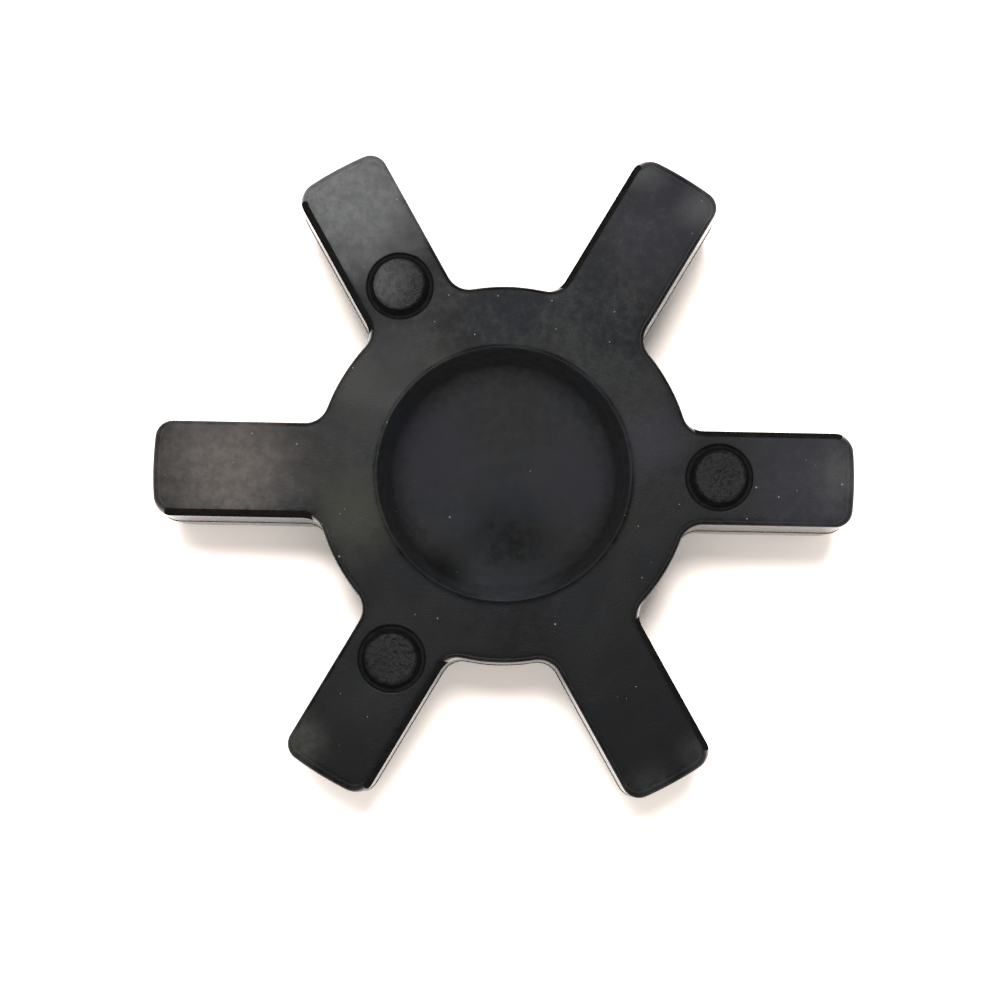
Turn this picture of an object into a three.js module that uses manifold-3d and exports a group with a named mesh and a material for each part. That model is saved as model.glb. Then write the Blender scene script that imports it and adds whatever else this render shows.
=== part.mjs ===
// Spider of a jaw coupling: the rubber element that sits between the jaws of two shaft hubs and
// carries the torque from one to the other. It is moulded in one piece, so it is one solid.
// Units are millimetres. +Z is the coupling's axis, +X runs along a leg with a nub on its upper
// face, and the origin is on the axis at mid-thickness. The two faces are alike: the lower one is
// the upper one turned over, so its nubs stand on the other legs.
import * as THREE from "three";
import { mergeVertices, toCreasedNormals } from "three/addons/utils/BufferGeometryUtils.js";
import Module from "manifold-3d";

// Body, measured at mid-thickness and without the parting bead unless said otherwise
const LEG_COUNT = 6;
const OUTSIDE_DIAMETER = 82.55; // over the tips of the legs and the parting bead
const HUB_DIAMETER = 44.45;
const LEG_WIDTH = 11.4;
const BODY_THICKNESS = 19.05; // from face to face, without the nubs
const ROOT_FILLET = 2.6; // between the hub and the side of a leg
const TIP_CORNER_RADIUS = 2.2; // between the side of a leg and its tip, in plan
const DRAFT_ANGLE = 1.0; // degrees that every side leans in from mid-thickness to a face

// Line of flash that the two halves of the mould leave round the body
const BEAD_REACH = 0.1;
const BEAD_HEIGHT = 0.5;

// Edges between a face and the sides, which the mould rounds more at the tips than elsewhere.
// Each face has a wide bevel on the counter-clockwise side of its legs, as seen from that face.
const TIP_EDGE_WIDTH = 0.8;
const TIP_EDGE_DEPTH = 0.8;
const PLAIN_EDGE_WIDTH = 0.4;
const PLAIN_EDGE_DEPTH = 0.5;
const BEVEL_WIDTH = 0.75;
const BEVEL_DEPTH = 1.5;
const ROUNDNESS = 2.0; // exponent of the edge's curve: 2 is a quarter of an ellipse
const BEVEL_ROUNDNESS = 1.25; // 1 is a straight bevel

// Round recess in the middle of each face
const RECESS_DIAMETER = 29.5; // at the face
const RECESS_DEPTH = 6.35;
const RECESS_WALL_ANGLE = 18; // degrees that the wall leans out from the axis
const RECESS_FLOOR_FILLET = 2.9;
const RECESS_RIM_RADIUS = 0.3;

// Nubs that space the legs from the floor of the hub's pocket, each in a shallow ring groove
const NUB_CIRCLE_RADIUS = 25.2;
const NUB_HEIGHT = 1.6;
const NUB_TOP_DIAMETER = 5.9;
const NUB_TAPER_ANGLE = 15; // degrees that the side of a nub leans in
const NUB_EDGE_RADIUS = 0.3;
const NUB_GROOVE_DIAMETER = 7.8;
const NUB_GROOVE_DEPTH = 0.4;

// Fineness of the rounded stretches, in straight steps
const HUB_ARC_STEPS = 6;
const FILLET_STEPS = 4;
const CORNER_STEPS = 4;
const TIP_STEPS = 4;
const EDGE_STEPS = 4;
const RECESS_STEPS = 56;
const RECESS_FILLET_STEPS = 5;
const RIM_STEPS = 2;
const NUB_STEPS = 28;

// Lengths by which cutting and joining shapes run past the surfaces they meet
const CUT_OVERRUN = 1.0;
const ROOT_OVERLAP = 0.5;

const FACE_HEIGHT = BODY_THICKNESS / 2;
const LEG_PITCH = (2 * Math.PI) / LEG_COUNT;
const FINE = 1e-5;
const CREASE_ANGLE = 0.5;

const wasm = await Module();
wasm.setup();

// Points along an arc, both ends included.
function arc(centreX, centreY, radius, from, to, steps) {
  const points = [];
  for (let i = 0; i <= steps; i++) {
    const angle = from + ((to - from) * i) / steps;
    const x = centreX + radius * Math.cos(angle);
    const y = centreY + radius * Math.sin(angle);
    points.push(new THREE.Vector2(x, y));
  }
  return points;
}

// Centre of an arc that touches the side of a leg and lies at a given distance from the axis.
function centreBeside(offset, distance) {
  return new THREE.Vector2(Math.sqrt(distance * distance - offset * offset), offset);
}

// Outline of one leg and of the hub as far as half way to the next legs, for a leg along +X.
// Each kind of side is set in by its own amount.
function legOutline(inset) {
  const hubRadius = HUB_DIAMETER / 2 - inset.plain;
  const tipRadius = OUTSIDE_DIAMETER / 2 - BEAD_REACH - inset.tip;
  const fillet = ROOT_FILLET + inset.plain;
  const corner = TIP_CORNER_RADIUS - inset.plain;
  const clockwiseSide = LEG_WIDTH / 2 - inset.clockwise;
  const counterSide = LEG_WIDTH / 2 - inset.counter;
  const firstRoot = centreBeside(-(clockwiseSide + fillet), hubRadius + fillet);
  const firstCorner = centreBeside(-(clockwiseSide - corner), tipRadius - corner);
  const lastCorner = centreBeside(counterSide - corner, tipRadius - corner);
  const lastRoot = centreBeside(counterSide + fillet, hubRadius + fillet);
  const quarter = Math.PI / 2;
  const firstRootAngle = Math.atan2(firstRoot.y, firstRoot.x);
  const firstCornerAngle = Math.atan2(firstCorner.y, firstCorner.x);
  const lastCornerAngle = Math.atan2(lastCorner.y, lastCorner.x);
  const lastRootAngle = Math.atan2(lastRoot.y, lastRoot.x);
  const half = HUB_ARC_STEPS / 2;
  return [
    ...arc(0, 0, hubRadius, -LEG_PITCH / 2, firstRootAngle, half).slice(0, -1),
    ...arc(firstRoot.x, firstRoot.y, fillet, firstRootAngle + Math.PI, quarter, FILLET_STEPS),
    ...arc(firstCorner.x, firstCorner.y, corner, -quarter, firstCornerAngle, CORNER_STEPS),
    ...arc(0, 0, tipRadius, firstCornerAngle, lastCornerAngle, TIP_STEPS).slice(1, -1),
    ...arc(lastCorner.x, lastCorner.y, corner, lastCornerAngle, quarter, CORNER_STEPS),
    ...arc(lastRoot.x, lastRoot.y, fillet, -quarter, lastRootAngle - Math.PI, FILLET_STEPS),
    ...arc(0, 0, hubRadius, lastRootAngle, LEG_PITCH / 2, half).slice(1, -1),
  ];
}

function bodyOutline(inset) {
  const axis = new THREE.Vector2(0, 0);
  const points = [];
  for (let leg = 0; leg < LEG_COUNT; leg++) {
    for (const point of legOutline(inset)) {
      points.push(point.rotateAround(axis, leg * LEG_PITCH));
    }
  }
  return points;
}

// How far an edge has drawn the side in at a depth below the face.
function edgeInset(width, depthOfEdge, roundness, depth) {
  const left = 1 - Math.min(1, depth / depthOfEdge);
  return width * (1 - Math.pow(1 - Math.pow(left, roundness), 1 / roundness));
}

// Outlines of the body from the lower face to the upper one, each with its height.
function bodyLevels() {
  const deepest = Math.max(TIP_EDGE_DEPTH, PLAIN_EDGE_DEPTH, BEVEL_DEPTH);
  const upper = [];
  for (let i = EDGE_STEPS; i >= 0; i--) {
    const depth = deepest * (1 - Math.cos(((Math.PI / 2) * i) / EDGE_STEPS));
    const height = FACE_HEIGHT - depth;
    const draft = height * Math.tan(THREE.MathUtils.degToRad(DRAFT_ANGLE));
    const plain = draft + edgeInset(PLAIN_EDGE_WIDTH, PLAIN_EDGE_DEPTH, ROUNDNESS, depth);
    const tip = draft + edgeInset(TIP_EDGE_WIDTH, TIP_EDGE_DEPTH, ROUNDNESS, depth);
    const bevel = draft + edgeInset(BEVEL_WIDTH, BEVEL_DEPTH, BEVEL_ROUNDNESS, depth);
    upper.push({ height, plain, tip, bevel });
  }
  const none = { plain: 0, tip: 0, bevel: 0 };
  const bead = { plain: -BEAD_REACH, tip: -BEAD_REACH, bevel: -BEAD_REACH };
  upper.unshift({ height: BEAD_HEIGHT / 2, ...none });
  const lower = upper.map((level) => ({ ...level, height: -level.height })).reverse();
  return [
    ...lower.map((l) => ({ height: l.height, inset: { ...l, clockwise: l.bevel, counter: l.plain } })),
    { height: 0, inset: { ...bead, clockwise: bead.bevel, counter: bead.plain } },
    ...upper.map((l) => ({ height: l.height, inset: { ...l, clockwise: l.plain, counter: l.bevel } })),
  ];
}

// Closed body without recesses and nubs: the outlines joined by walls, with a cap on each face.
function bodyGeometry() {
  const levels = bodyLevels();
  const outlines = levels.map((level) => bodyOutline(level.inset));
  const count = outlines[0].length;
  const positions = [];
  outlines.forEach((outline, i) => {
    outline.forEach((point) => positions.push(point.x, point.y, levels[i].height));
  });
  const indices = [];
  for (let level = 0; level + 1 < levels.length; level++) {
    for (let i = 0; i < count; i++) {
      const a = level * count + i;
      const b = level * count + ((i + 1) % count);
      indices.push(a, b, b + count, a, b + count, a + count);
    }
  }
  const last = (levels.length - 1) * count;
  for (const [a, b, c] of THREE.ShapeUtils.triangulateShape(outlines[0], [])) {
    indices.push(c, b, a);
  }
  for (const [a, b, c] of THREE.ShapeUtils.triangulateShape(outlines[levels.length - 1], [])) {
    indices.push(last + a, last + b, last + c);
  }
  const geometry = new THREE.BufferGeometry();
  geometry.setAttribute("position", new THREE.Float32BufferAttribute(positions, 3));
  geometry.setIndex(indices);
  return geometry;
}

// Solid of revolution about +Z from points of (radius, height) that start and end on the axis.
function turned(profile, steps) {
  return new THREE.LatheGeometry(profile, steps).rotateX(Math.PI / 2);
}

// Space of the upper recess: flat floor, large fillet, leaning wall and rounded rim.
function recessSpace() {
  const lean = THREE.MathUtils.degToRad(RECESS_WALL_ANGLE);
  const floor = FACE_HEIGHT - RECESS_DEPTH;
  const wallFoot = RECESS_DIAMETER / 2 - RECESS_DEPTH * Math.tan(lean);
  const flatRadius = wallFoot - RECESS_FLOOR_FILLET * Math.tan((Math.PI / 2 - lean) / 2);
  const filletHeight = floor + RECESS_FLOOR_FILLET;
  const rimFlat = RECESS_DIAMETER / 2 + RECESS_RIM_RADIUS * Math.tan((Math.PI / 2 - lean) / 2);
  const rimHeight = FACE_HEIGHT - RECESS_RIM_RADIUS;
  const profile = [
    new THREE.Vector2(0, floor),
    ...arc(flatRadius, filletHeight, RECESS_FLOOR_FILLET, -Math.PI / 2, -lean, RECESS_FILLET_STEPS),
    ...arc(rimFlat, rimHeight, RECESS_RIM_RADIUS, Math.PI - lean, Math.PI / 2, RIM_STEPS),
    new THREE.Vector2(rimFlat, FACE_HEIGHT + CUT_OVERRUN),
    new THREE.Vector2(0, FACE_HEIGHT + CUT_OVERRUN),
  ];
  return turned(profile, RECESS_STEPS);
}

// Radius of a nub's tapered side at a height above the face.
function nubRadius(height) {
  const taper = Math.tan(THREE.MathUtils.degToRad(NUB_TAPER_ANGLE));
  return NUB_TOP_DIAMETER / 2 + (NUB_HEIGHT - height) * taper;
}

// Nub on the axis, from a root below its groove to its rounded top.
function nubShape() {
  const root = -NUB_GROOVE_DEPTH - ROOT_OVERLAP;
  const shoulder = NUB_HEIGHT - NUB_EDGE_RADIUS;
  const edgeCentre = nubRadius(shoulder) - NUB_EDGE_RADIUS;
  const profile = [
    new THREE.Vector2(0, root),
    new THREE.Vector2(nubRadius(root), root),
    ...arc(edgeCentre, shoulder, NUB_EDGE_RADIUS, 0, Math.PI / 2, RIM_STEPS),
    new THREE.Vector2(0, NUB_HEIGHT),
  ];
  return turned(profile, NUB_STEPS);
}

// Pocket on the axis that leaves the ring groove once the nub stands in it.
function grooveShape() {
  const radius = NUB_GROOVE_DIAMETER / 2;
  const profile = [
    new THREE.Vector2(0, -NUB_GROOVE_DEPTH),
    new THREE.Vector2(radius, -NUB_GROOVE_DEPTH),
    new THREE.Vector2(radius, CUT_OVERRUN),
    new THREE.Vector2(0, CUT_OVERRUN),
  ];
  return turned(profile, NUB_STEPS);
}

// Puts a shape made on the axis at its place on a leg: the even legs carry theirs on the upper
// face and the odd legs on the lower one.
function placedOnLeg(geometry, leg) {
  const placed = geometry.clone().translate(NUB_CIRCLE_RADIUS, 0, FACE_HEIGHT);
  if (leg % 2 === 1) {
    placed.rotateX(Math.PI);
  }
  return placed.rotateZ(leg * LEG_PITCH);
}

function toSolid(geometry) {
  const bare = geometry.clone();
  bare.deleteAttribute("normal");
  bare.deleteAttribute("uv");
  const merged = mergeVertices(bare, FINE);
  const triVerts = [];
  for (let i = 0; i < merged.index.count; i += 3) {
    const corners = [merged.index.getX(i), merged.index.getX(i + 1), merged.index.getX(i + 2)];
    if (new Set(corners).size === corners.length) {
      triVerts.push(...corners);
    }
  }
  const mesh = new wasm.Mesh({
    numProp: 3,
    vertProperties: new Float32Array(merged.attributes.position.array),
    triVerts: new Uint32Array(triVerts),
  });
  return new wasm.Manifold(mesh);
}

function toGeometry(solid) {
  const mesh = solid.getMesh();
  const geometry = new THREE.BufferGeometry();
  geometry.setAttribute("position", new THREE.BufferAttribute(mesh.vertProperties, mesh.numProp));
  geometry.setIndex(new THREE.BufferAttribute(mesh.triVerts, 1));
  return toCreasedNormals(geometry, CREASE_ANGLE);
}

function spiderGeometry() {
  const recess = recessSpace();
  let solid = toSolid(bodyGeometry());
  solid = solid.subtract(toSolid(recess));
  solid = solid.subtract(toSolid(recess.clone().rotateX(Math.PI)));
  for (let leg = 0; leg < LEG_COUNT; leg++) {
    solid = solid.subtract(toSolid(placedOnLeg(grooveShape(), leg)));
    solid = solid.add(toSolid(placedOnLeg(nubShape(), leg)));
  }
  return toGeometry(solid);
}

const blackRubber = new THREE.MeshStandardMaterial({
  color: new THREE.Color(0x222323),
  roughness: 0.62,
  metalness: 0.0,
});

const spider = new THREE.Mesh(spiderGeometry(), blackRubber);
spider.name = "spider";

const coupling = new THREE.Group();
coupling.add(spider);

export default coupling;
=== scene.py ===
"""Blender scene of the rubber spider of a jaw coupling, lying face up on a pale floor.

The spider is one piece of moulded black rubber. Its solid gives the form and the size, and one
finer mesh stands for it here: the same outline, recesses and nubs, with the flash at the rims, the
ring grooves, the torn nub tops and the parting line that the mould leaves. Meshes are drafted in
millimetres and turned to metres when they become objects.
"""
import logging
import math
from collections.abc import Callable, Sequence
from dataclasses import dataclass, field
from enum import Enum, IntEnum

import bmesh
import bpy
import numpy as np
from mathutils import Matrix, Vector, geometry, noise


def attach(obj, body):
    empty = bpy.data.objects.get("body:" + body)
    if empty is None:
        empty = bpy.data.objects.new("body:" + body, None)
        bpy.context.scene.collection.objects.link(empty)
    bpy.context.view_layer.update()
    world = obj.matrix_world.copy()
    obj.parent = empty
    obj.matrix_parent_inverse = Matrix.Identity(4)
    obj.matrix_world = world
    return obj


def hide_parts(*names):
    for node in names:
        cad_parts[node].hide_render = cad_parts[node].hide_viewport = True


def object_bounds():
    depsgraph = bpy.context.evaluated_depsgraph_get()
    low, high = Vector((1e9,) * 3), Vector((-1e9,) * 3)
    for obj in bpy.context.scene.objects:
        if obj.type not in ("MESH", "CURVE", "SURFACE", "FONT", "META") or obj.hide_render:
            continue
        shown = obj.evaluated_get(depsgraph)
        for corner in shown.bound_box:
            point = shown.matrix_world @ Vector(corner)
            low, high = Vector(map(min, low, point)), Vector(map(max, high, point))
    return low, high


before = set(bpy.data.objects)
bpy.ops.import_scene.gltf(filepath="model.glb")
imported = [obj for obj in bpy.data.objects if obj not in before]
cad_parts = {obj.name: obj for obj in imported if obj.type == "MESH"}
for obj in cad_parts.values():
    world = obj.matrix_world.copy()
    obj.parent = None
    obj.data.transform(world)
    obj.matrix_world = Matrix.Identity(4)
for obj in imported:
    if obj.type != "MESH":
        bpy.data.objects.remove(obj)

CAD_LOW, CAD_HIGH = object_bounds()

LOG = logging.getLogger("spider")

METRES = 0.001
FRAME_PIXELS = 1001
SENSOR_MM = 36.0

Profile = list[tuple[float, float]]
Colour = tuple[float, float, float]
Hole = tuple[float, float, float]
Socket = bpy.types.NodeSocket
Feed = Socket | float | Sequence[float] | None


class Zone(IntEnum):
    """Kinds of surface on the rubber, each with its own material."""

    FACE = 0
    SIDE = 1
    NUB_TOP = 2
    RECESS = 3
    TRIMMED = 4
    EDGE = 5


class Half(Enum):
    """The two halves of the body, each moulded in its own plate."""

    UPPER = "upper"
    LOWER = "lower"


def smoothstep(low: float, high: float, value: float) -> float:
    """Eases from 0 at one value to 1 at another.

    Args:
        low: Value at which the result starts to leave 0.
        high: Value at which the result reaches 1.
        value: Value to ease.

    Returns:
        A number from 0 to 1.
    """
    share = min(1.0, max(0.0, (value - low) / (high - low)))
    return share * share * (3.0 - 2.0 * share)


def ripple(x: float, y: float, z: float, scale: float, layer: float = 0.0) -> float:
    """Gives smooth noise of about -1 to 1 at a point.

    Args:
        x: First coordinate in millimetres.
        y: Second coordinate in millimetres.
        z: Third coordinate in millimetres.
        scale: Size of the noise's swells in millimetres.
        layer: Offset that gives another pattern.

    Returns:
        The noise at the point.
    """
    return noise.noise(Vector((x / scale + layer, y / scale - layer, z / scale + 2.0 * layer)))


def arc(
    centre_x: float, centre_y: float, radius: float, start: float, end: float, steps: int
) -> Profile:
    """Gives points along an arc, both ends included.

    Args:
        centre_x: First coordinate of the centre.
        centre_y: Second coordinate of the centre.
        radius: Radius of the arc.
        start: First angle in radians.
        end: Last angle in radians.
        steps: Number of straight steps.

    Returns:
        The points in order.
    """
    angles = [start + (end - start) * i / steps for i in range(steps + 1)]
    return [(centre_x + radius * math.cos(a), centre_y + radius * math.sin(a)) for a in angles]


class MeshDraft:
    """Points, faces and zones of a mesh while it is being made, in millimetres."""

    def __init__(self) -> None:
        """Starts an empty draft."""
        self.points: list[tuple[float, float, float]] = []
        self.faces: list[tuple[int, ...]] = []
        self.zones: list[Zone] = []

    def add_points(self, points: Sequence[tuple[float, float, float]]) -> list[int]:
        """Adds points.

        Args:
            points: The points to add.

        Returns:
            The index of each new point.
        """
        first = len(self.points)
        self.points.extend(points)
        return list(range(first, len(self.points)))

    def add_face(self, corners: Sequence[int], zone: Zone) -> None:
        """Adds one face, whose corners run counter-clockwise from outside."""
        self.faces.append(tuple(corners))
        self.zones.append(zone)

    def join(
        self, first: Sequence[int], second: Sequence[int], zone: Zone | Sequence[Zone]
    ) -> None:
        """Joins two closed rings of the same count by four-sided faces.

        Args:
            first: Ring on the outer or lower side.
            second: Ring on the inner or upper side.
            zone: Kind of surface between them, or one kind for each face.
        """
        count = len(first)
        zones = [zone] * count if isinstance(zone, Zone) else zone
        for i in range(count):
            j = (i + 1) % count
            self.add_face((first[i], first[j], second[j], second[i]), zones[i])

    def close(self, ring: Sequence[int], centre: int, zone: Zone) -> None:
        """Closes a ring with triangles to the point in its middle."""
        for i in range(len(ring)):
            self.add_face((ring[i], ring[(i + 1) % len(ring)], centre), zone)

    def merge(self, other: "MeshDraft", matrix: Matrix) -> None:
        """Adds a turned copy of another draft.

        Args:
            other: Draft to copy.
            matrix: Rotation that places the copy.
        """
        first = len(self.points)
        self.points.extend(tuple(matrix @ Vector(p)) for p in other.points)
        self.faces.extend(tuple(first + i for i in face) for face in other.faces)
        self.zones.extend(other.zones)

    def displace(self, move: Callable[[Vector], Vector]) -> None:
        """Moves every point to the place that a function gives for it."""
        self.points = [tuple(move(Vector(p))) for p in self.points]

    def to_object(
        self, name: str, materials: Sequence[bpy.types.Material], crease: float
    ) -> bpy.types.Object:
        """Turns the draft into a smooth-shaded object in metres.

        Args:
            name: Name of the object and its mesh.
            materials: One material per zone.
            crease: Angle in radians above which an edge stays sharp.

        Returns:
            The object, linked to the scene.
        """
        mesh = bpy.data.meshes.new(name)
        mesh.from_pydata([Vector(p) * METRES for p in self.points], [], self.faces)
        for material in materials:
            mesh.materials.append(material)
        mesh.polygons.foreach_set("material_index", [int(zone) for zone in self.zones])
        work = bmesh.new()
        work.from_mesh(mesh)
        bmesh.ops.remove_doubles(work, verts=work.verts, dist=1e-6)
        work.to_mesh(mesh)
        work.free()
        mesh.shade_smooth()
        mesh.set_sharp_from_angle(angle=crease)
        mesh.update()
        piece = bpy.data.objects.new(name, mesh)
        bpy.context.scene.collection.objects.link(piece)
        return piece


class NodeSheet:
    """Short ways to add and link nodes in one node tree."""

    def __init__(self, tree: bpy.types.NodeTree) -> None:
        """Keeps the tree that nodes are added to."""
        self.tree = tree

    def add(self, kind: str, **settings: object) -> bpy.types.Node:
        """Adds a node.

        Args:
            kind: Blender's name of the node type.
            **settings: Attributes to set on the node.

        Returns:
            The new node.
        """
        node = self.tree.nodes.new(kind)
        for key, value in settings.items():
            setattr(node, key, value)
        return node

    def link(self, source: Socket, target: Socket) -> None:
        """Links an output to an input."""
        self.tree.links.new(source, target)

    def math(
        self, operation: str, first: Feed, second: Feed = None, third: Feed = None
    ) -> Socket:
        """Adds a math node.

        Args:
            operation: Blender's name of the operation.
            first: Socket or number for the first input.
            second: Socket or number for the second input.
            third: Socket or number for the third input.

        Returns:
            The node's output.
        """
        node = self.add("ShaderNodeMath", operation=operation)
        for socket, value in zip(node.inputs, (first, second, third)):
            self.feed(socket, value)
        return node.outputs[0]

    def feed(self, socket: Socket, value: Feed) -> None:
        """Links a socket to an input, or sets a value on it.

        Args:
            socket: Input to fill.
            value: Output socket, number or colour, or None to leave it alone.
        """
        if isinstance(value, Socket):
            self.link(value, socket)
        elif value is not None:
            socket.default_value = value

    def span(
        self,
        value: Socket,
        source: tuple[float, float],
        target: tuple[float, float] = (0.0, 1.0),
        smooth: bool = True,
    ) -> Socket:
        """Maps a value from one range to another, held at its ends.

        Args:
            value: Socket to map.
            source: Range that comes in.
            target: Range that goes out.
            smooth: Whether the ends are eased.

        Returns:
            The mapped value.
        """
        kind = "SMOOTHSTEP" if smooth else "LINEAR"
        node = self.add("ShaderNodeMapRange", interpolation_type=kind)
        self.link(value, node.inputs["Value"])
        node.inputs["From Min"].default_value = source[0]
        node.inputs["From Max"].default_value = source[1]
        node.inputs["To Min"].default_value = target[0]
        node.inputs["To Max"].default_value = target[1]
        return node.outputs["Result"]

    def noise(
        self,
        vector: Socket,
        scale: Feed,
        detail: float = 2.0,
        roughness: float = 0.5,
        distortion: float = 0.0,
    ) -> Socket:
        """Adds a noise texture.

        Args:
            vector: Coordinates that it reads.
            scale: Socket or number for its scale, per metre.
            detail: Octaves.
            roughness: Weight of the finer octaves.
            distortion: How far it is bent.

        Returns:
            The noise, from about 0.2 to 0.8.
        """
        node = self.add("ShaderNodeTexNoise", noise_dimensions="3D")
        self.link(vector, node.inputs["Vector"])
        self.feed(node.inputs["Scale"], scale)
        node.inputs["Detail"].default_value = detail
        node.inputs["Roughness"].default_value = roughness
        node.inputs["Distortion"].default_value = distortion
        return node.outputs["Fac"]

    def product(self, first: Feed, second: Feed) -> Socket:
        """Multiplies two values."""
        return self.math("MULTIPLY", first, second)

    def position(self) -> Socket:
        """Gives the position on the object, in metres."""
        return self.add("ShaderNodeTexCoord").outputs["Object"]

    def blend(self, share: Socket, first: Socket | Colour, second: Colour) -> Socket:
        """Mixes two colours.

        Args:
            share: Share of the second colour.
            first: First colour, from a socket or as written.
            second: Second colour.

        Returns:
            The mixed colour.
        """
        node = self.add("ShaderNodeMix", data_type="RGBA")
        self.link(share, node.inputs["Factor"])
        self.feed(node.inputs[6], first if isinstance(first, Socket) else (*first, 1.0))
        self.feed(node.inputs[7], (*second, 1.0))
        return node.outputs[2]


def new_group(
    name: str, inputs: dict[str, float], outputs: Sequence[str]
) -> tuple[NodeSheet, bpy.types.Node, bpy.types.Node]:
    """Makes an empty shader node group with float sockets.

    Args:
        name: Name of the group.
        inputs: Name and default of each input.
        outputs: Name of each output.

    Returns:
        The sheet of the group, its input node and its output node.
    """
    tree = bpy.data.node_groups.new(name, "ShaderNodeTree")
    for label, value in inputs.items():
        socket = tree.interface.new_socket(label, in_out="INPUT", socket_type="NodeSocketFloat")
        socket.default_value = value
    for label in outputs:
        tree.interface.new_socket(label, in_out="OUTPUT", socket_type="NodeSocketFloat")
    sheet = NodeSheet(tree)
    return sheet, sheet.add("NodeGroupInput"), sheet.add("NodeGroupOutput")


class SurfaceEffects:
    """The effects that the rubber's materials share, as shader node groups."""

    def __init__(self) -> None:
        """Builds every group once."""
        self.mottle = self.make_mottle()
        self.grain = self.make_grain()
        self.scuffs = self.make_scuffs()
        self.dust = self.make_dust()
        self.tint = self.make_tint()
        self.patch = self.make_patch()

    def make_mottle(self) -> bpy.types.NodeTree:
        """Builds cloudy patches where the rubber's skin is duller or shinier.

        Returns:
            The group, with outputs Patches and Clouds.
        """
        sheet, given, result = new_group(
            "rubber_mottle", {"Scale": 400.0, "Contrast": 1.0}, ("Patches", "Clouds")
        )
        place = sheet.position()
        fine = sheet.noise(place, given.outputs["Scale"], detail=6.0, roughness=0.72)
        wider = sheet.product(given.outputs["Scale"], 0.17)
        broad = sheet.noise(place, wider, detail=3.0, distortion=0.6)
        centred = sheet.math("SUBTRACT", fine, 0.5)
        patches = sheet.math("MULTIPLY_ADD", centred, given.outputs["Contrast"], 0.5)
        patches = sheet.math("MINIMUM", sheet.math("MAXIMUM", patches, 0.0), 1.0)
        sheet.link(patches, result.inputs[0])
        sheet.link(sheet.span(broad, (0.35, 0.65)), result.inputs[1])
        return sheet.tree

    def make_grain(self) -> bpy.types.NodeTree:
        """Builds the fine grain that a blasted mould leaves on rubber.

        Returns:
            The group, with output Height.
        """
        inputs = {"Scale": 3000.0, "Swell": 0.15}
        sheet, given, result = new_group("mould_grain", inputs, ("Height",))
        place = sheet.position()
        fine = sheet.noise(place, given.outputs["Scale"], detail=3.0, roughness=0.6)
        wider = sheet.product(given.outputs["Scale"], 0.12)
        broad = sheet.noise(place, wider, detail=2.0)
        height = sheet.math("MULTIPLY_ADD", broad, given.outputs["Swell"], fine)
        sheet.link(height, result.inputs[0])
        return sheet.tree

    def make_scuffs(self) -> bpy.types.NodeTree:
        """Builds hair-fine scratches in two directions.

        Returns:
            The group, with output Mask.
        """
        sheet, given, result = new_group("fine_scuffs", {"Scale": 90.0, "Share": 0.08}, ("Mask",))
        place = sheet.position()
        masks = []
        for turn, stretch in ((0.9, 12.0), (2.5, 16.0)):
            mapping = sheet.add("ShaderNodeMapping")
            sheet.link(place, mapping.inputs["Vector"])
            mapping.inputs["Rotation"].default_value = (0.0, 0.0, turn)
            mapping.inputs["Scale"].default_value = (1.0, stretch, 1.0)
            lines = sheet.noise(
                mapping.outputs["Vector"], given.outputs["Scale"], detail=1.0, distortion=0.15
            )
            near = sheet.math("ABSOLUTE", sheet.math("SUBTRACT", lines, 0.5))
            line = sheet.span(near, (0.0, 0.02), (1.0, 0.0))
            patch = sheet.noise(place, sheet.product(given.outputs["Scale"], 1.7))
            masks.append(sheet.product(line, sheet.span(patch, (0.55, 0.7))))
        both = sheet.math("MAXIMUM", masks[0], masks[1])
        sheet.link(sheet.product(both, given.outputs["Share"]), result.inputs[0])
        return sheet.tree

    def make_dust(self) -> bpy.types.NodeTree:
        """Builds scattered pale specks of dust.

        Returns:
            The group, with output Mask.
        """
        sheet, given, result = new_group("dust_specks", {"Scale": 900.0, "Share": 0.1}, ("Mask",))
        place = sheet.position()
        cells = sheet.add("ShaderNodeTexVoronoi", voronoi_dimensions="3D", feature="F1")
        sheet.link(place, cells.inputs["Vector"])
        sheet.link(given.outputs["Scale"], cells.inputs["Scale"])
        pick = sheet.add("ShaderNodeSeparateColor")
        sheet.link(cells.outputs["Color"], pick.inputs["Color"])
        chosen = sheet.math("LESS_THAN", pick.outputs["Red"], given.outputs["Share"])
        smallest, spread = 0.05, 0.16
        size = sheet.math("MULTIPLY_ADD", pick.outputs["Green"], spread, smallest)
        near = sheet.math("LESS_THAN", cells.outputs["Distance"], size)
        sheet.link(sheet.product(chosen, near), result.inputs[0])
        return sheet.tree

    def make_tint(self) -> bpy.types.NodeTree:
        """Builds broad areas where the bloom on the rubber looks cooler or warmer.

        Returns:
            The group, with outputs Cool and Warm.
        """
        sheet, given, result = new_group("rubber_tint", {"Scale": 110.0}, ("Cool", "Warm"))
        place = sheet.position()
        for output, shift in zip(result.inputs, (0.37, 0.81)):
            moved = sheet.add("ShaderNodeVectorMath", operation="ADD")
            sheet.link(place, moved.inputs[0])
            moved.inputs[1].default_value = (shift, shift, shift)
            scale = given.outputs["Scale"]
            cloud = sheet.noise(moved.outputs[0], scale, detail=3.0, distortion=0.4)
            sheet.link(sheet.span(cloud, (0.46, 0.62)), output)
        return sheet.tree

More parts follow.
